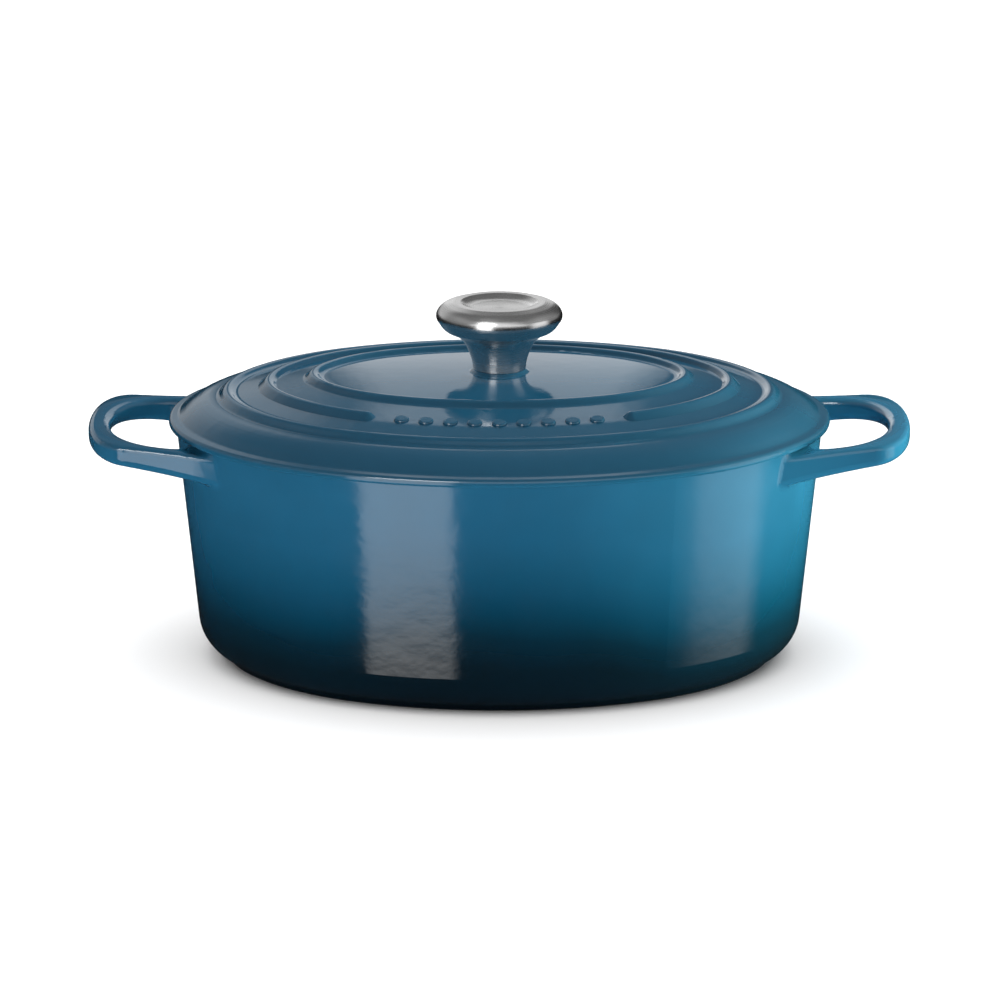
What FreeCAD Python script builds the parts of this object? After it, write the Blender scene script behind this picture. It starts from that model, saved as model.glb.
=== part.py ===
"""Oval enamelled cast iron dutch oven: pot, lid, stainless knob and its fixings.

Millimetres. Origin on the floor under the middle of the pot, +Z up, +X along
the long axis towards one loop handle, -Y the front. Every piece is drawn where
it sits with the lid closed. Each solid goes to its own STEP file.
"""
import FreeCAD, Part
import math
import os

V = FreeCAD.Vector
Z_AXIS = V(0, 0, 1)

# ---- plan oval: outer edge of the pot rim; everything else is inset from it ----
RIM_HALF_LENGTH = 146.6
RIM_HALF_WIDTH = 115.0
END_RADIUS, CORNER_RADIUS, SIDE_RADIUS = 93.0, 126.0, 186.0   # tangent arcs of a quadrant

# ---- pot casting ----
RIM_TOP = 109.0            # height of the rim above the floor
WALL = 3.8                 # wall thickness
DRAFT = 0.1                # how far the wall leans in per mm of height
BOTTOM_RADIUS = 18.5       # big round between wall and base, outside
UNDERSIDE = 1.6            # base plate underside, above the floor
FLOOR_TOP = 6.2            # cooking surface
FOOT_INSET, FOOT_WIDTH = 22.2, 6.0
POT_CORE_INSET = 80.0      # inside this inset the base is one flat plate

# ---- loop handles, one at each end, cast with the pot ----
HANDLE_TOP, HANDLE_TOP_RISE = 107.7, 0.072      # top face at the wall's end, rise per mm outwards
HANDLE_BASE, HANDLE_BASE_RISE = 96.2, 0.165     # underside, which thins the loop towards its tip
HANDLE_TIP = 186.2
HANDLE_BAND = 9.8          # width of the band at the tip
HANDLE_CREST, HANDLE_INNER, HANDLE_UNDER = 2.2, 3.4, 3.6    # roundings of the long edges
HANDLE_ROOT = 5.0          # blend between a loop and the wall

# ---- lid casting ----
LIP_OVERHANG = 3.4         # lid lip outside the pot rim
LIP_THICK = 3.4
LID_WALL = 3.6
SKIRT_GAP = 1.4            # locating skirt to the pot's inner wall
SKIRT_WIDTH, SKIRT_DEPTH = 3.4, 4.0
BEAD_FOOT, BEAD_TOP, BEAD_HEIGHT = 3.9, 1.15, 2.5   # half widths and height of a raised ring
BEAD_MIDDLES = (26.5, 45.6, 65.7)   # inset of the raised rings from the lip
DISC_EDGE = 129.6          # height of the domed middle disc at the inner ring's foot
DISC_INSET = 69.5          # the disc starts here, from the lip
CROWN = 132.1              # top of the domed disc, level over the middle
LID_CORE_INSET = 93.0
GAP_HALF = 58.5            # front interruption of the middle ring, half length
PIP_COUNT, PIP_RADIUS, PIP_HEIGHT, PIP_PITCH = 9, 3.2, 1.1, 10.8

# ---- knob boss, knob and fixings ----
BOSS_TOP = 133.4
BOSS_RADIUS, BOSS_SPREAD = 11.6, 17.0
SCREW_HOLE = 3.4           # radius of the hole through the lid
PAD_RADIUS, PAD_DROP = 11.0, 1.2    # flat pad under the lid for the washer
KNOB_HEIGHT = 31.0
KNOB_WALL = 1.4            # drawn sheet
DISH_RADIUS, DISH_DEPTH = 17.5, 2.1
SCREW_RADIUS = 3.0
WASHER_RADIUS, WASHER_THICK = 9.0, 1.2
HEAD_RADIUS, HEAD_HEIGHT = 5.6, 3.6
CLEAR = 0.05               # running clearance on threads and welded fits


# ------------------------------------------------------------------ profiles
def rounded_wire(corners, y=0.0):
    """Closed wire in an XZ plane from (x, z, radius) corners, each one rounded."""
    count = len(corners)
    starts, ends, edges = [], [], []
    for i, (x, z, radius) in enumerate(corners):
        here = V(x, y, z)
        before = V(corners[i - 1][0], y, corners[i - 1][1]) - here
        after = V(corners[(i + 1) % count][0], y, corners[(i + 1) % count][1]) - here
        before.normalize()
        after.normalize()
        if radius <= 0:
            starts.append(here)
            ends.append(here)
            edges.append(None)
            continue
        half = before.getAngle(after) / 2
        reach = radius / math.tan(half)
        bisector = (before + after).normalize()
        middle = here + bisector * (radius / math.sin(half) - radius)
        starts.append(here + before * reach)
        ends.append(here + after * reach)
        edges.append(Part.Arc(starts[-1], middle, ends[-1]).toShape())
    outline = []
    for i in range(count):
        if edges[i] is not None:
            outline.append(edges[i])
        nxt = starts[(i + 1) % count]
        if ends[i].distanceToPoint(nxt) > 1e-6:
            outline.append(Part.makeLine(ends[i], nxt))
    return Part.Wire(outline)


def turned(corners):
    """Solid of revolution about the Z axis from (radius, z, rounding) corners."""
    return Part.Face(rounded_wire(corners)).revolve(V(0, 0, 0), Z_AXIS, 360)


# ------------------------------------------------------------- the plan oval
def oval_segments():
    """The oval as (centre, radius, start angle, end angle), angles of its normal."""
    first, second = CORNER_RADIUS - END_RADIUS, SIDE_RADIUS - CORNER_RADIUS
    run, rise = RIM_HALF_LENGTH - END_RADIUS, SIDE_RADIUS - RIM_HALF_WIDTH
    reach = math.hypot(run, rise)
    bearing = math.atan2(rise, run)
    t1 = bearing - math.acos((first ** 2 + reach ** 2 - second ** 2) / (2 * first * reach))
    t2 = bearing + math.acos((second ** 2 + reach ** 2 - first ** 2) / (2 * second * reach))
    cx = run - first * math.cos(t1)
    cy = -first * math.sin(t1)
    side = RIM_HALF_WIDTH - SIDE_RADIUS
    pi = math.pi
    return [
        (V(run, 0, 0), END_RADIUS, -t1, t1),
        (V(cx, cy, 0), CORNER_RADIUS, t1, t2),
        (V(0, side, 0), SIDE_RADIUS, t2, pi - t2),
        (V(-cx, cy, 0), CORNER_RADIUS, pi - t2, pi - t1),
        (V(-run, 0, 0), END_RADIUS, pi - t1, pi + t1),
        (V(-cx, -cy, 0), CORNER_RADIUS, pi + t1, pi + t2),
        (V(0, -side, 0), SIDE_RADIUS, pi + t2, 2 * pi - t2),
        (V(cx, -cy, 0), CORNER_RADIUS, 2 * pi - t2, 2 * pi - t1),
    ]


def oval_wire(inset, z):
    """The plan oval moved in by inset, as a wire at height z."""
    edges = []
    for centre, radius, start, end in oval_segments():
        circle = Part.Circle(centre + V(0, 0, z), Z_AXIS, radius - inset)
        edges.append(Part.Arc(circle, start, end).toShape())
    return Part.Wire(Part.__sortEdges__(edges))


def oval_plate(inset, low, high):
    return Part.Face(oval_wire(inset, low)).extrude(V(0, 0, high - low))


def oval_sweep(corners, segments=None):
    """Sweep an (inset, z, rounding) profile along the plan oval, all round if not told."""
    pieces = []
    for centre, radius, start, end in segments or oval_segments():
        face = Part.Face(rounded_wire([(radius - inset, z, r) for inset, z, r in corners]))
        face.rotate(V(0, 0, 0), Z_AXIS, math.degrees(start))
        face.translate(centre)
        pieces.append(face.revolve(centre, Z_AXIS, math.degrees(end - start)))
    return pieces[0].multiFuse(pieces[1:]).removeSplitter()


def front_angle(inset, x):
    """Angle, about the front side arc's centre, of the point at this x."""
    return 2 * math.pi - math.acos(x / (SIDE_RADIUS - inset))


def front_point(inset, x, z):
    """Point of the front side arc, moved in by inset, at this x."""
    drop = (SIDE_RADIUS - inset) * math.sin(front_angle(inset, x))
    return V(x, SIDE_RADIUS - RIM_HALF_WIDTH + drop, z)


# ------------------------------------------------------------------- the pot
def wall_inset(z):
    return (RIM_TOP - z) * DRAFT


def make_handle():
    """One loop handle at the +X end, as a flat bar bent round a finger hole."""
    inner_tip = HANDLE_TIP - HANDLE_BAND
    shoulder, lead = V(168, -49, 0), V(13, 1.3, 0)
    outer = [[V(HANDLE_TIP, 0, 0), V(HANDLE_TIP, -27, 0), shoulder + lead, shoulder],
             [shoulder, shoulder - lead * 1.3, V(136, -54, 0), V(112, -64, 0)]]
    shoulder, lead = V(152, -42, 0), V(18, 3.5, 0)
    inner = [[V(inner_tip, 0, 0), V(inner_tip, -19, 0), shoulder + lead, shoulder],
             [shoulder, shoulder - lead * 0.4, V(141, -42.5, 0), V(134, -31, 0)]]
    low, high = HANDLE_BASE - 20, HANDLE_TOP + 20

    def outline(curves, back):
        """Prism between the curves, their mirror images and a flat back at this x."""
        edges = []
        for poles in curves:
            for side in (1, -1):
                curve = Part.BezierCurve()
                curve.setPoles([V(p.x, p.y * side, low) for p in poles])
                edges.append(curve.toShape())
        end = curves[-1][-1]
        rim = [V(end.x, -end.y, low), V(back, -end.y, low), V(back, end.y, low), V(end.x, end.y, low)]
        edges += [Part.makeLine(p, q) for p, q in zip(rim, rim[1:]) if p != q]
        return Part.Face(Part.Wire(Part.__sortEdges__(edges))).extrude(V(0, 0, high - low))

    def level(face, x):
        base, rise = face
        return base + rise * (x - RIM_HALF_LENGTH)

    top, under = (HANDLE_TOP, HANDLE_TOP_RISE), (HANDLE_BASE, HANDLE_BASE_RISE)
    ends = (95, HANDLE_TIP + 5)
    side = [V(x, -90, level(under, x)) for x in ends] + [V(x, -90, level(top, x)) for x in ends[::-1]]
    wedge = Part.Face(Part.makePolygon(side + side[:1])).extrude(V(0, 180, 0))
    hole = outline(inner, 134)
    bar = outline(outer, 100).common(wedge).cut(hole)

    for face, in_hole, radius in ((under, False, HANDLE_UNDER), (under, True, HANDLE_UNDER),
                                  (top, False, HANDLE_CREST), (top, True, HANDLE_INNER)):
        picked = []
        for edge in bar.Edges:
            middle = edge.valueAt((edge.FirstParameter + edge.LastParameter) / 2)
            on_face = abs(middle.z - level(face, middle.x)) < 1e-4
            at_hole = Part.Vertex(middle).distToShape(hole)[0] < 1e-3
            if on_face and at_hole == in_hole and edge.BoundBox.XMax > 135 and edge.BoundBox.XLength > 1:
                picked.append(edge)
        bar = bar.makeFillet(radius, picked)
    return bar


def make_pot():
    foot_in = FOOT_INSET + FOOT_WIDTH
    body = oval_sweep([
        (0, RIM_TOP, 0.9),
        (wall_inset(UNDERSIDE), UNDERSIDE, BOTTOM_RADIUS),
        (POT_CORE_INSET, UNDERSIDE, 0),
        (POT_CORE_INSET, FLOOR_TOP, 0),
        (WALL + wall_inset(FLOOR_TOP), FLOOR_TOP, BOTTOM_RADIUS - WALL),
        (WALL, RIM_TOP, 0.9)])
    foot = oval_sweep([
        (FOOT_INSET, 0, 0.6),
        (foot_in, 0, 0.6),
        (foot_in + 0.3, UNDERSIDE + 1.5, 0),
        (FOOT_INSET - 0.3, UNDERSIDE + 1.5, 0)])
    body = body.fuse([oval_plate(POT_CORE_INSET, UNDERSIDE, FLOOR_TOP), foot])
    middle = oval_sweep([
        (WALL / 2, RIM_TOP + 5, 0),
        (WALL / 2 + wall_inset(50), 50, 0),
        (POT_CORE_INSET, 50, 0),
        (POT_CORE_INSET, RIM_TOP + 5, 0)])
    middle = middle.fuse(oval_plate(POT_CORE_INSET, 50, RIM_TOP + 5))
    east = make_handle().cut(middle)
    west = east.mirror(V(0, 0, 0), V(1, 0, 0))
    seams = [edge.CenterOfMass for loop in (east, west) for edge in loop.section(body).Edges]
    body = body.fuse([east, west])
    roots = [edge for edge in body.Edges
             if any(edge.CenterOfMass.distanceToPoint(mark) < 0.05 for mark in seams)]
    return body.makeFillet(HANDLE_ROOT, roots)


# ------------------------------------------------------------------- the lid
def dome(inset):
    """Height of the lid's top skin between the rings, at this inset from the lip."""
    stations = ((22.6, 121.3), (42.0, 125.7), (62.0, 129.2), (DISC_INSET, DISC_EDGE))
    for (d0, z0), (d1, z1) in zip(stations, stations[1:]):
        if inset <= d1:
            return z0 + (z1 - z0) * (inset - d0) / (d1 - d0)
    return DISC_EDGE


def bead(middle):
    """Corners of a raised ring's section, feet blended into the dome."""
    top = dome(middle) + BEAD_HEIGHT
    return [(middle - BEAD_FOOT, dome(middle - BEAD_FOOT), 3.0), (middle - BEAD_TOP, top, 2.9),
            (middle + BEAD_TOP, top, 2.9), (middle + BEAD_FOOT, dome(middle + BEAD_FOOT), 3.0)]


def make_broken_ring():
    """The middle raised ring, open at the front and rounded at its two ends."""
    inset = BEAD_MIDDLES[1] - LIP_OVERHANG
    level = dome(BEAD_MIDDLES[1])
    foot, low, top = BEAD_FOOT + 1.3, level - 1.2, level + BEAD_HEIGHT
    segments = oval_segments()
    centre, radius, start, end = segments[6]
    segments[6:7] = [(centre, radius, start, front_angle(inset, -GAP_HALF)),
                     (centre, radius, front_angle(inset, GAP_HALF), end)]
    ring = oval_sweep([(inset - foot, low, 0), (inset - BEAD_TOP, top, 2.9),
                       (inset + BEAD_TOP, top, 2.9), (inset + foot, low, 0)], segments)
    for x in (-GAP_HALF, GAP_HALF):
        tip = turned([(0, low, 0), (foot, low, 0), (BEAD_TOP, top, 2.9), (0, top, 0)])
        tip.translate(front_point(inset, x, 0))
        ring = ring.fuse(tip)
    return ring.removeSplitter()


def make_pips():
    """A row of plain round pips in the front opening of the middle ring."""
    inset = BEAD_MIDDLES[1] - LIP_OVERHANG
    pips = []
    for i in range(PIP_COUNT):
        x = (i - (PIP_COUNT - 1) / 2) * PIP_PITCH
        pip = turned([(0, -1.5, 0), (PIP_RADIUS + 0.4, -1.5, 0), (PIP_RADIUS, PIP_HEIGHT, 0.9),
                      (0, PIP_HEIGHT, 0)])
        pip.rotate(V(0, 0, 0), V(1, 0, 0), 11.5)
        pip.translate(front_point(inset, x, dome(BEAD_MIDDLES[1])))
        pips.append(pip)
    return pips


def make_lid():
    core = LID_CORE_INSET - LIP_OVERHANG
    skirt_out = WALL + SKIRT_GAP
    skirt_in = skirt_out + SKIRT_WIDTH
    under = CROWN - LID_WALL
    outside = [
        (0, RIM_TOP, 1.3),
        (0, RIM_TOP + LIP_THICK, 2.0),
        (4.6, RIM_TOP + LIP_THICK + 0.8, 3.0),
        (10.0, 117.4, 24.0),
        (17.5, 120.9, 20.0)]
    outside += bead(BEAD_MIDDLES[0]) + [(42.0, dome(42.0), 60.0)] + bead(BEAD_MIDDLES[2])
    outside += [(79.5, CROWN - 0.55, 60.0), (88.0, CROWN, 120.0)]
    corners = [(inset - LIP_OVERHANG, z, r) for inset, z, r in outside] + [
        (core, CROWN, 0),
        (core, under, 0),
        (82.0, under, 60.0),
        (66.7, 126.1, 30.0),
        (15.5, 117.0, 8.0),
        (skirt_in, 111.9, 2.5),
        (skirt_in, RIM_TOP - SKIRT_DEPTH, 1.2),
        (skirt_out, RIM_TOP - SKIRT_DEPTH, 1.2),
        (skirt_out, RIM_TOP, 0.4)]
    body = oval_sweep(corners).fuse(oval_plate(core, under, CROWN))
    boss = turned([
        (0, washer_top(), 0),
        (PAD_RADIUS, washer_top(), 0.4),
        (PAD_RADIUS + 1.5, CROWN - 1.5, 0),
        (BOSS_SPREAD, CROWN - 0.8, 0),
        (13.4, CROWN + 0.05, 3.0),
        (BOSS_RADIUS, BOSS_TOP, 0.3),
        (0, BOSS_TOP, 0)])
    body = body.fuse([boss, make_broken_ring()] + make_pips())
    hole = Part.makeCylinder(SCREW_HOLE, 20, V(0, 0, CROWN - 12))
    return body.cut(hole).removeSplitter()


# ------------------------------------------------------------ knob and fixings
def make_knob_body():
    """Drawn stainless knob: narrow foot, flared stem, wide rounded rim."""
    seat = SCREW_RADIUS + 2.5
    body = turned([
        (11.9, 0, 0.5),
        (12.4, 4.0, 14.0),
        (14.0, 9.2, 30.0),
        (17.8, 15.6, 14.0),
        (25.2, 18.6, 6.5),
        (29.3, 24.6, 4.0),
        (26.8, 29.3, 7.0),
        (20.4, KNOB_HEIGHT + 0.15, 3.0),
        (DISH_RADIUS, KNOB_HEIGHT, 0),
        (DISH_RADIUS, KNOB_HEIGHT - 1.5, 0),
        (21.0, KNOB_HEIGHT - 1.6, 2.0),
        (25.9, 28.1, 5.5),
        (27.7, 24.6, 2.6),
        (24.5, 20.0, 5.1),
        (17.0, 16.9, 12.6),
        (12.6, 9.4, 28.0),
        (11.0, 4.2, 12.0),
        (10.7, KNOB_WALL, 0.6),
        (seat, KNOB_WALL, 0),
        (seat, 0, 0)])
    body.translate(V(0, 0, BOSS_TOP))
    return body


def make_knob_cap():
    """Dished disc that closes the top of the knob."""
    edge, floor = DISH_RADIUS - CLEAR, KNOB_HEIGHT - DISH_DEPTH
    cap = turned([
        (0, floor - 1.2, 0),
        (14.0, floor - 1.2, 8.0),
        (edge, KNOB_HEIGHT - 1.4, 0),
        (edge, KNOB_HEIGHT, 0),
        (13.6, floor, 9.0),
        (0, floor, 0)])
    cap.translate(V(0, 0, BOSS_TOP))
    return cap


def make_knob_insert():
    """Flanged threaded bush inside the stem; the thread is drawn as a plain bore."""
    seat = SCREW_RADIUS + 2.5 - CLEAR
    bore = SCREW_RADIUS + CLEAR
    bush = turned([
        (bore, 0, 0), (seat, 0, 0), (seat, KNOB_WALL, 0), (8.0, KNOB_WALL, 0),
        (8.0, KNOB_WALL + 2, 0.3), (5.6, KNOB_WALL + 2, 0), (5.6, 13, 0.4), (bore, 13, 0)])
    bush.translate(V(0, 0, BOSS_TOP))
    return bush


def washer_top():
    return CROWN - LID_WALL - PAD_DROP


def make_washer():
    low = washer_top() - WASHER_THICK
    return turned([(SCREW_RADIUS + 0.3, low, 0.2), (WASHER_RADIUS, low, 0.2),
                   (WASHER_RADIUS, washer_top(), 0.2), (SCREW_RADIUS + 0.3, washer_top(), 0.2)])


def make_screw():
    """Pan head machine screw, driven up through the lid, with a crossed recess."""
    under = washer_top() - WASHER_THICK
    top = BOSS_TOP + 10.0
    screw = turned([(0, under - HEAD_HEIGHT, 0), (HEAD_RADIUS, under - HEAD_HEIGHT, 2.2),
                    (HEAD_RADIUS, under, 0), (SCREW_RADIUS, under, 0),
                    (SCREW_RADIUS, top - 0.8, 0), (SCREW_RADIUS - 0.8, top, 0), (0, top, 0)])
    for angle in (45, 135):
        slot = Part.makeBox(6.4, 1.1, 2.0, V(-3.2, -0.55, under - HEAD_HEIGHT))
        slot.rotate(V(0, 0, 0), Z_AXIS, angle)
        screw = screw.cut(slot)
    return screw


PARTS = {
    "pot": make_pot,
    "lid": make_lid,
    "knob_body": make_knob_body,
    "knob_cap": make_knob_cap,
    "knob_insert": make_knob_insert,
    "screw_washer": make_washer,
    "knob_screw": make_screw,
}

os.makedirs("parts", exist_ok=True)
for name, make in PARTS.items():
    make().Solids[0].exportStep("parts/%s.step" % name)
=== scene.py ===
"""Looks of the oval cast iron dutch oven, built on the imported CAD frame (metres, +Z up)."""
import math

import bpy
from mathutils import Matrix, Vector


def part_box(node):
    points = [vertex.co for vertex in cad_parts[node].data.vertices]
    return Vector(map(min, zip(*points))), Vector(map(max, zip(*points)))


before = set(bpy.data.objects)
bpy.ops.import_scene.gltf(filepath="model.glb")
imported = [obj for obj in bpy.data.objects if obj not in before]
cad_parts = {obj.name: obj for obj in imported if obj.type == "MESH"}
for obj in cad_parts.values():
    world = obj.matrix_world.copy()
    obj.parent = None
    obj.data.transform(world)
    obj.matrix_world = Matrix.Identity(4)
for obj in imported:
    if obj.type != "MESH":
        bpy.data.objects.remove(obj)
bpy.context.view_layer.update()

# ------------------------------------------------------------------ measures from the frame
LID_LOW, LID_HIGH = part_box("lid")
LID_HALF_X, LID_HALF_Y = LID_HIGH.x, LID_HIGH.y
RIM_Z = LID_LOW.z + 0.004               # the lid's skirt hangs 4 mm below the pot rim
OVERHANG = 0.0034                       # lid lip outside the pot rim
RIM_HALF_X, RIM_HALF_Y = LID_HALF_X - OVERHANG, LID_HALF_Y - OVERHANG
DRAFT = 0.1                             # how far the wall leans in per unit of height
FOOT_SIDE_LOW, FOOT_SIDE_HIGH = 0.0027, 0.0031      # the foot ring's side ends between these
DISC_INSET = 0.0705                     # middle disc of the lid, from the lip
DISC_HALF_X, DISC_HALF_Y = LID_HALF_X - DISC_INSET, LID_HALF_Y - DISC_INSET
BOSS_IN, BOSS_OUT = 0.0135, 0.0175      # radii between which the disc takes over from the boss
LOOP_MIDDLE = 0.131                     # middle of a finger loop, along X
LOOP_HALF_X, LOOP_HALF_Y = 0.0552, 0.054
LOOP_POWER = 2.6                        # how square the loop's plan is
LOOP_START, LOOP_FREE = 0.138, 0.150    # a loop comes clear of the wall between these


# ------------------------------------------------------------------ node helpers
class Nodes:
    """A short way to write a node tree: numbers are set on sockets, sockets are linked."""

    def __init__(self, tree):
        self.tree = tree
        tree.nodes.clear()

    def add(self, kind, inputs=None, **settings):
        node = self.tree.nodes.new("ShaderNode" + kind)
        for key, value in settings.items():
            setattr(node, key, value)
        for key, value in (inputs or {}).items():
            self.plug(node.inputs[key], value)
        return node

    def plug(self, socket, value):
        if isinstance(value, bpy.types.NodeSocket):
            self.tree.links.new(value, socket)
        else:
            socket.default_value = value

    def math(self, operation, a, b=0.0, clamp=False):
        return self.add("Math", {0: a, 1: b}, operation=operation, use_clamp=clamp).outputs[0]

    def size(self, value):
        return self.math("ABSOLUTE", value)

    def times(self, a, b):
        return self.math("MULTIPLY", a, b)

    def plus(self, a, b):
        return self.math("ADD", a, b)

    def minus(self, a, b):
        return self.math("SUBTRACT", a, b)

    def over(self, a, b):
        return self.math("DIVIDE", a, b)

    def distance(self, x, y):
        return self.math("POWER", self.plus(self.times(x, x), self.times(y, y)), 0.5)

    def smooth(self, value, low, high, out_low=0.0, out_high=1.0):
        node = self.add("MapRange", {"Value": value, "From Min": low, "From Max": high,
                                     "To Min": out_low, "To Max": out_high},
                        interpolation_type="SMOOTHSTEP")
        return node.outputs["Result"]

    def between(self, kind, factor, a, b):
        node = self.add("Mix", data_type=kind)
        for socket, value in (("Factor", factor), ("A", a), ("B", b)):
            self.plug(node.inputs[socket], value)
        return node.outputs["Result"]

    def mix(self, factor, a, b):
        """Between two colours, each a socket or an RGB triple."""
        a, b = ((*c, 1.0) if isinstance(c, tuple) else c for c in (a, b))
        return self.between("RGBA", factor, a, b)

    def blend(self, factor, a, b):
        """Between two numbers."""
        return self.between("FLOAT", factor, a, b)

    def vector(self, x, y, z):
        return self.add("CombineXYZ", {"X": x, "Y": y, "Z": z}).outputs["Vector"]

    def parts(self, vector):
        node = self.add("SeparateXYZ", {"Vector": vector})
        return [node.outputs[axis] for axis in "XYZ"]

    def geometry(self, output):
        return self.add("NewGeometry").outputs[output]

    def combine(self, operation, inputs):
        return self.add("VectorMath", inputs, operation=operation).outputs["Vector"]

    def lean(self, normal, x, y, z, amount):
        """A normal tipped towards (x, y, z), as far as amount says."""
        tip = self.combine("SCALE", {0: self.vector(x, y, z), "Scale": amount})
        return self.combine("NORMALIZE", {0: self.combine("ADD", {0: normal, 1: tip})})

    def ramp(self, value, stops):
        node = self.add("ValToRGB", {"Fac": value})
        elements = node.color_ramp.elements
        while len(elements) < len(stops):
            elements.new(0.5)
        for element, (position, colour) in zip(elements, stops):
            element.position = position
            element.color = (*colour, 1.0)
        return node.outputs["Color"]

    def noise(self, vector, scale, detail=2.0, roughness=0.5):
        node = self.add("TexNoise", {"Vector": vector, "Scale": scale, "Detail": detail,
                                     "Roughness": roughness})
        return node.outputs["Fac"]

    def stretch(self, vector, scale):
        return self.add("Mapping", {"Vector": vector, "Scale": scale}).outputs["Vector"]

    def bump(self, height, distance, strength, normal=None):
        node = self.add("Bump", {"Height": height, "Distance": distance, "Strength": strength})
        if normal is not None:
            self.plug(node.inputs["Normal"], normal)
        return node.outputs["Normal"]

    def surface(self, shader, kind="Material"):
        self.add("Output" + kind, {"Surface": shader.outputs[0]})


def new_material(name):
    material = bpy.data.materials.new(name)
    material.use_nodes = True
    return material, Nodes(material.node_tree)


def oval_square(n, x, y, half_x, half_y):
    """(x / half_x)^2 + (y / half_y)^2, which is 1 on the oval with these half sizes."""
    return n.plus(n.math("POWER", n.over(n.size(x), half_x), 2.0),
                  n.math("POWER", n.over(n.size(y), half_y), 2.0))


def facing(n):
    """The mesh's own normal, as separate components."""
    return n.parts(n.geometry("True Normal"))


# ------------------------------------------------------------------ enamel
SAND, SAND_SPECK = (0.63, 0.53, 0.40), (0.40, 0.31, 0.21)
CLOUD = (0.0, 0.012, 0.03)
BARE_IRON = (0.012, 0.012, 0.013)
LID_TEALS = (0.0115, 0.092, 0.172), (0.0150, 0.108, 0.198)
WALL_TEALS = [                          # share of the wall's height, colour
    (0.00, (0.0020, 0.0060, 0.010)),
    (0.22, (0.0020, 0.0100, 0.017)),
    (0.34, (0.0016, 0.0200, 0.037)),
    (0.45, (0.0018, 0.0420, 0.082)),
    (0.60, (0.0055, 0.0720, 0.140)),
    (0.78, (0.0110, 0.0980, 0.188)),
    (1.00, (0.0150, 0.1120, 0.210))]
ENAMEL_IOR = 1.52
BARE_ROUGHNESS = 0.62


def enamel(name, teal, masks, crown):
    """Glass enamel: teal outside, sand coloured inside, matt where the iron is bare.

    teal(n, point) gives the outside colour; masks(n, point) gives the inside and
    bare masks, both 0 to 1; crown(n, point) gives the normal before the fine bumps.
    """
    material, n = new_material(name)
    point = n.add("TexCoord").outputs["Object"]
    outside = teal(n, point)
    inside, bare = masks(n, point)

    cloud = n.smooth(n.noise(point, 28.0, 3.0), 0.3, 0.7, 0.0, 0.10)
    speck = n.smooth(n.noise(point, 900.0), 0.60, 0.74, 0.0, 0.35)
    colour = n.mix(inside, n.mix(cloud, outside, CLOUD), n.mix(speck, SAND, SAND_SPECK))
    colour = n.mix(bare, colour, BARE_IRON)

    wave = n.noise(n.stretch(point, (1.0, 1.0, 1.5)), 85.0)
    normal = n.bump(wave, 0.00020, 0.5, crown(n, point))
    normal = n.bump(n.noise(point, 420.0), 0.00003, 0.4, normal)
    normal = n.bump(n.noise(point, 2600.0), n.blend(bare, 0.0, 0.00012), 0.6, normal)

    gloss = n.smooth(n.noise(point, 60.0, 3.0), 0.3, 0.7, 0.075, 0.11)
    n.surface(n.add("BsdfPrincipled", {
        "Base Color": colour, "Roughness": n.blend(bare, gloss, BARE_ROUGHNESS),
        "Normal": normal, "IOR": ENAMEL_IOR}))
    return material


def jittered(n, point, z):
    """Height with a fifth of a millimetre of wander, for the edge of bare iron."""
    return n.plus(z, n.smooth(n.noise(point, 300.0), 0.2, 0.8, -0.0002, 0.0002))


def pot_teal(n, point):
    """Nearly black at the foot, deep teal up the wall."""
    x, _, z = n.parts(point)
    ends = n.smooth(n.size(x), 0.03, 0.085, -0.003, 0.0065)
    drift = n.smooth(n.noise(point, 14.0), 0.2, 0.8, 0.0, 0.006)
    height = n.math("DIVIDE", n.plus(z, n.plus(ends, drift)), RIM_Z, clamp=True)
    return n.ramp(height, WALL_TEALS)


def pot_masks(n, point):
    """Sand colour on the surfaces that face into the pot; bare iron on rim and foot ring."""
    x, y, z = n.parts(point)
    normal_x, normal_y, normal_z = facing(n)
    inset = n.times(n.minus(RIM_Z, z), DRAFT)
    level = oval_square(n, x, y, n.minus(RIM_HALF_X, inset), n.minus(RIM_HALF_Y, inset))
    outward = n.plus(n.times(normal_x, n.over(x, RIM_HALF_X)),
                     n.times(normal_y, n.over(y, RIM_HALF_Y)))
    into = n.smooth(n.minus(normal_z, outward), 0.05, 0.30)
    within = n.smooth(level, 0.992, 0.984)
    inside = n.times(n.times(into, within), n.smooth(z, 0.0035, 0.0045))

    height = jittered(n, point, z)
    band = n.times(n.smooth(level, 0.93, 0.95), n.smooth(level, 1.004, 0.999))
    rim = n.times(n.smooth(height, RIM_Z - 0.0005, RIM_Z - 0.0002), band)
    foot = n.smooth(height, 0.0006, 0.0003)
    return inside, n.math("MAXIMUM", rim, foot, clamp=True)


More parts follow.
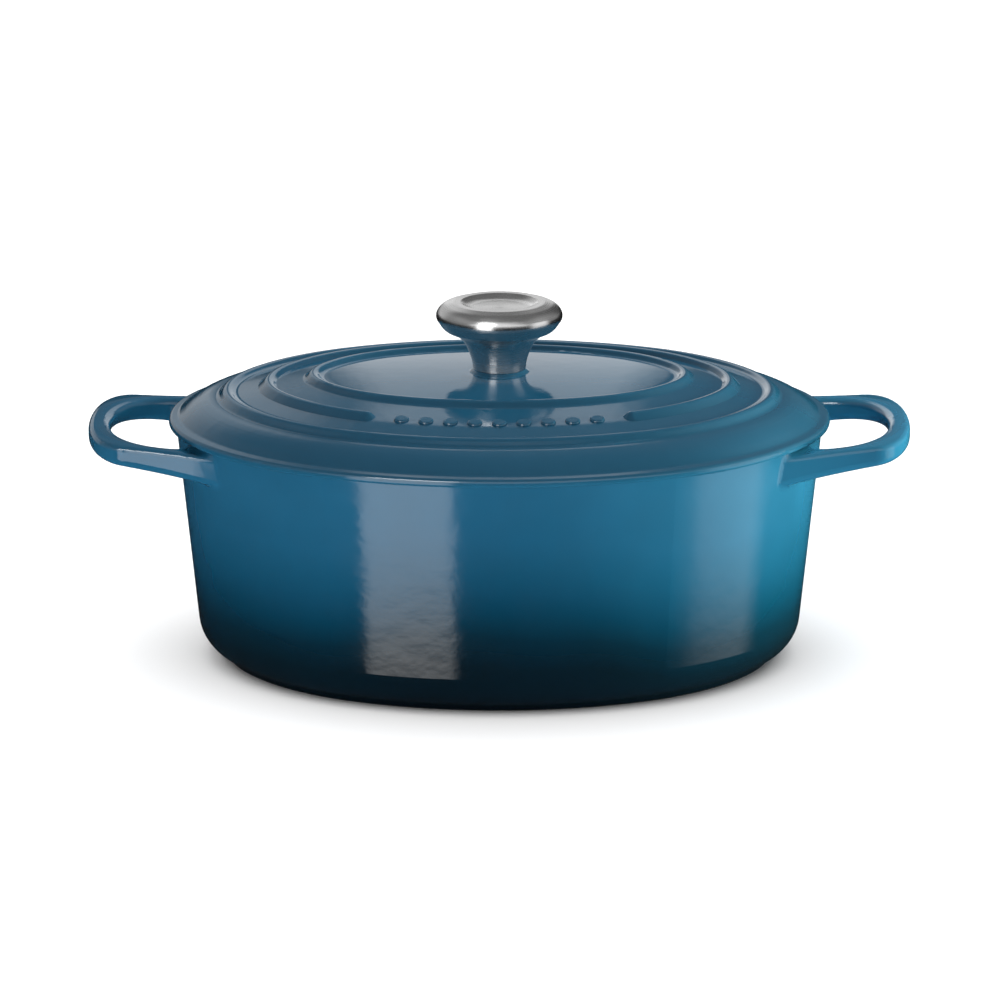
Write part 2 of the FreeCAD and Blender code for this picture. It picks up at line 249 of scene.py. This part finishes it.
def pot_crown(n, point):
    """The loops' tops read as gently crowned bars, and the foot ring's side as undercut."""
    x, y, z = n.parts(point)
    out = n.math("MAXIMUM", n.minus(n.size(x), LOOP_MIDDLE), 0.0)
    share_x = n.math("POWER", n.over(out, LOOP_HALF_X), LOOP_POWER)
    share_y = n.math("POWER", n.over(n.size(y), LOOP_HALF_Y), LOOP_POWER)
    ring = n.math("POWER", n.plus(share_x, share_y), 1.0 / LOOP_POWER)
    tilt = n.smooth(ring, 0.82, 1.04, -0.30, 0.34)
    length = n.distance(out, y)
    along_x = n.times(n.over(out, length), n.times(n.math("SIGN", x), 0.5))
    along_y = n.over(y, length)
    up = facing(n)[2]
    top = n.times(n.smooth(up, 0.90, 0.97), n.smooth(n.size(x), LOOP_START, LOOP_FREE))
    crowned = n.lean(n.geometry("Normal"), along_x, along_y, 0.0, n.times(top, tilt))

    upright = n.smooth(n.size(up), 0.6, 0.4)
    foot = n.times(upright, n.smooth(z, FOOT_SIDE_HIGH, FOOT_SIDE_LOW))
    return n.lean(crowned, 0.0, 0.0, -0.9, foot)


def lid_teal(n, point):
    return n.mix(n.smooth(n.noise(point, 14.0), 0.3, 0.7), *LID_TEALS)


def lid_masks(n, point):
    """Sand colour under the lid and round the skirt; bare iron where it sits on the rim."""
    x, y, z = n.parts(point)
    down = n.smooth(facing(n)[2], -0.04, -0.20)
    level = oval_square(n, x, y, LID_HALF_X, LID_HALF_Y)
    inner = n.smooth(level, 0.957, 0.947)
    skirt = n.times(n.smooth(level, 0.915, 0.905), n.smooth(z, RIM_Z + 0.0005, RIM_Z))
    inside = n.math("MAXIMUM", n.times(down, inner), skirt, clamp=True)
    low = n.smooth(jittered(n, point, z), RIM_Z + 0.0006, RIM_Z + 0.0003)
    band = n.times(n.smooth(level, 0.885, 0.895), inner)
    return inside, n.times(n.times(low, down), band)


def lid_crown(n, point):
    """The middle disc reads as one even dome."""
    x, y, _ = n.parts(point)
    normal = n.geometry("Normal")
    normal_x, normal_y, normal_z = n.parts(normal)
    disc = n.times(n.smooth(oval_square(n, x, y, DISC_HALF_X, DISC_HALF_Y), 1.0, 0.90),
                   n.smooth(n.distance(x, y), BOSS_IN, BOSS_OUT))
    disc = n.times(disc, n.smooth(normal_z, 0.94, 0.97))
    slope_x, slope_y = n.times(x, 1.5), n.times(y, 2.5)
    return n.lean(normal, n.minus(slope_x, normal_x), n.minus(slope_y, normal_y), 0.0, disc)


# ------------------------------------------------------------------ steel
def steel(name, tint, roughness, scale):
    """Satin stainless: fine lathe lines round the Z axis and a little smear."""
    material, n = new_material(name)
    point = n.add("TexCoord").outputs["Object"]
    x, y, z = n.parts(point)
    lines = n.noise(n.vector(n.distance(x, y), 0.0, z), scale, 3.0, 0.6)
    smear = n.noise(point, 90.0, 3.0)
    dull = tuple(0.82 * channel for channel in tint)
    rough = n.plus(n.smooth(lines, 0.3, 0.7, -0.04, 0.04),
                   n.smooth(smear, 0.3, 0.7, roughness - 0.02, roughness + 0.03))
    n.surface(n.add("BsdfPrincipled", {
        "Base Color": n.mix(n.smooth(smear, 0.3, 0.7, 0.0, 0.25), tint, dull),
        "Metallic": 1.0, "Roughness": rough, "Normal": n.bump(lines, 0.00002, 0.5),
        "Anisotropic": 0.6, "Anisotropic Rotation": 0.25,
        "Tangent": n.add("Tangent", direction_type="RADIAL", axis="Z").outputs["Tangent"]}))
    return material


def dress(material, *nodes):
    for node in nodes:
        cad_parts[node].data.materials[0] = material


dress(enamel("pot_enamel_look", pot_teal, pot_masks, pot_crown), "pot")
dress(enamel("lid_enamel_look", lid_teal, lid_masks, lid_crown), "lid")
dress(steel("knob_steel_look", (0.57, 0.57, 0.57), 0.25, 2600.0), "knob_body", "knob_cap")
dress(steel("insert_steel_look", (0.50, 0.48, 0.44), 0.34, 3000.0), "knob_insert")
dress(steel("fixing_steel_look", (0.55, 0.54, 0.53), 0.30, 3000.0), "knob_screw", "screw_washer")

# ------------------------------------------------------------------ stage
FLOOR_HALF = 6.0
floor_mesh = bpy.data.meshes.new("floor")
floor_mesh.from_pydata([(x * FLOOR_HALF, y * FLOOR_HALF, 0)
                        for x, y in ((-1, -1), (1, -1), (1, 1), (-1, 1))], [], [(0, 1, 2, 3)])
floor = bpy.data.objects.new("floor", floor_mesh)
bpy.context.collection.objects.link(floor)
floor_material, n = new_material("floor_white")
n.surface(n.add("BsdfPrincipled", {"Base Color": (0.92, 0.92, 0.92, 1.0), "Roughness": 0.9,
                                   "Specular IOR Level": 0.0}))
floor_mesh.materials.append(floor_material)
floor.visible_glossy = False
floor.visible_shadow = False

# Rays towards the world see three different rooms: plain white behind the object, an even
# dim room for soft light, and for reflections a shaped one. That has a backdrop behind
# which is brighter to the left, a dim ceiling, and paler walls in front and at the sides.
WHITE_BEHIND, SOFT_LIGHT = 1.05, 0.25
world = bpy.data.worlds.new("studio")
bpy.context.scene.world = world
world.use_nodes = True
n = Nodes(world.node_tree)
rays = n.add("LightPath")
x, y, z = n.parts(n.add("TexCoord").outputs["Generated"])
back = n.times(n.smooth(y, 0.35, 0.9), n.smooth(z, -0.02, 0.14))
back = n.times(back, n.smooth(z, 0.75, 0.45, 0.0, 0.58))
back = n.times(back, n.smooth(x, -0.08, -0.17, 0.15, 1.15))
ceiling = n.smooth(z, 0.3, 0.8, 0.012, 0.20)
front = n.times(n.smooth(y, -0.3, -0.7), n.smooth(z, 0.10, 0.36, 0.0, 1.2))
sides = n.times(n.smooth(n.size(x), 0.45, 0.8), n.smooth(z, -0.05, 0.2, 0.0, 0.3))
room = n.plus(n.plus(back, ceiling), n.math("MAXIMUM", front, sides))
level = n.blend(rays.outputs["Is Glossy Ray"], SOFT_LIGHT, room)
level = n.blend(rays.outputs["Is Camera Ray"], level, WHITE_BEHIND)
n.surface(n.add("Background", {"Color": (1.0, 1.0, 1.0, 1.0), "Strength": level}), "World")


def softbox(name, bearing, height, distance, width, tall, strength, aim, seen_by, fade=0.0,
            colour=(1.0, 1.0, 1.0)):
    """Rectangular light; bearing in degrees from the camera's side, + to its right.

    aim is the height it points at on the Z axis. seen_by is "gloss" for a light that
    shows in reflections only, or "matt" for one that only gives soft light. fade is
    the part of the width over which each upright edge softens; such a light also dims
    near its two ends.
    """
    angle = math.radians(bearing)
    data = bpy.data.lights.new(name, "AREA")
    data.shape, data.size, data.size_y = "RECTANGLE", width, tall
    data.energy = strength * width * tall * math.pi
    data.color = colour
    if fade:
        data.use_nodes = True
        n = Nodes(data.node_tree)
        across, along, _ = n.parts(n.geometry("Parametric"))
        edges = n.times(n.smooth(across, 0.0, fade), n.smooth(across, 1.0, 1.0 - fade))
        for end, inner in ((0.03, 0.12), (0.97, 0.88)):
            edges = n.times(edges, n.smooth(along, end, inner, 0.35, 1.0))
        n.surface(n.add("Emission", {"Strength": edges}), "Light")
    lamp = bpy.data.objects.new(name, data)
    place = Vector((math.sin(angle) * distance, -math.cos(angle) * distance, height))
    lamp.location = place
    lamp.rotation_euler = (Vector((0, 0, aim)) - place).to_track_quat("-Z", "Y").to_euler()
    lamp.visible_camera = False
    lamp.visible_diffuse, lamp.visible_glossy = seen_by == "matt", seen_by == "gloss"
    bpy.context.collection.objects.link(lamp)
    return lamp


def link_group(name, objects, state):
    """Collection that makes a lamp see only these objects (INCLUDE) or all but these (EXCLUDE)."""
    group = bpy.data.collections.new(name)
    for member in objects:
        group.objects.link(member)
    for entry in group.collection_objects:
        entry.light_linking.link_state = state
    return group


def lights_only(lamp, objects):
    lamp.light_linking.receiver_collection = link_group(lamp.name + "_lit", objects, "INCLUDE")


def lights_all_but(lamp, objects):
    lamp.light_linking.receiver_collection = link_group(lamp.name + "_unlit", objects, "EXCLUDE")


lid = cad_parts["lid"]
knob = [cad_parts[name] for name in ("knob_body", "knob_cap")]

softbox("strip_left", bearing=-27.0, height=0.01, distance=1.6, width=0.88, tall=1.86,
        strength=2.8, aim=0.01, seen_by="gloss", fade=0.12)
softbox("bank_left", bearing=-27.0, height=1.25, distance=1.3, width=0.75, tall=0.5,
        strength=12.0, aim=0.1, seen_by="gloss", fade=0.1)
softbox("box_right", bearing=79.0, height=0.08, distance=1.6, width=1.5, tall=1.80,
        strength=1.15, aim=0.08, seen_by="gloss", fade=0.3)
softbox("card_back", bearing=180.0, height=0.36, distance=0.6, width=0.30, tall=0.56,
        strength=0.78, aim=0.36, seen_by="gloss", fade=0.2)
side_key = softbox("key_low_right", bearing=94.0, height=0.02, distance=0.9, width=0.5,
                   tall=0.5, strength=25.0, aim=0.05, seen_by="matt", colour=(1.0, 1.0, 0.78))
loop_key = softbox("key_right_loop", bearing=88.0, height=0.26, distance=0.30, width=0.10,
                   tall=0.10, strength=17.0, aim=0.11, seen_by="matt", colour=(1.0, 1.0, 0.82))
top_key = softbox("key_high_back", bearing=154.0, height=1.1, distance=1.1, width=1.4,
                  tall=0.9, strength=6.6, aim=0.05, seen_by="matt")
front_fill = softbox("front_fill", bearing=-10.0, height=0.3, distance=2.0, width=1.6,
                     tall=0.8, strength=3.0, aim=0.05, seen_by="matt")
floor_fill = softbox("floor_fill", bearing=0.0, height=3.0, distance=0.001, width=8.0,
                     tall=8.0, strength=2.0, aim=0.05, seen_by="matt")
for lamp in (side_key, top_key, front_fill):
    lights_all_but(lamp, [floor])
lights_all_but(loop_key, [floor, lid] + knob)
lights_only(floor_fill, [floor])
top_key.light_linking.blocker_collection = link_group("top_key_shadows", knob, "EXCLUDE")

# ------------------------------------------------------------------ camera
DISTANCE, RISE = 2.5, math.radians(15.6)
MIDDLE_X = 0.0003
SENSOR = 36.0
ZOOM = 2.19                             # focal length over sensor width, at 1 m
camera_data = bpy.data.cameras.new("camera")
camera = bpy.data.objects.new("camera", camera_data)
bpy.context.collection.objects.link(camera)
camera.location = (MIDDLE_X, -DISTANCE * math.cos(RISE), 0.060 + DISTANCE * math.sin(RISE))
aim = Vector((MIDDLE_X, 0.0, 0.0715))
camera.rotation_euler = (aim - camera.location).to_track_quat("-Z", "Y").to_euler()
camera_data.sensor_width = SENSOR
camera_data.lens = SENSOR * ZOOM * DISTANCE
camera_data.clip_end = 50.0
bpy.context.scene.camera = camera
bpy.context.scene.view_settings.view_transform = "Standard"
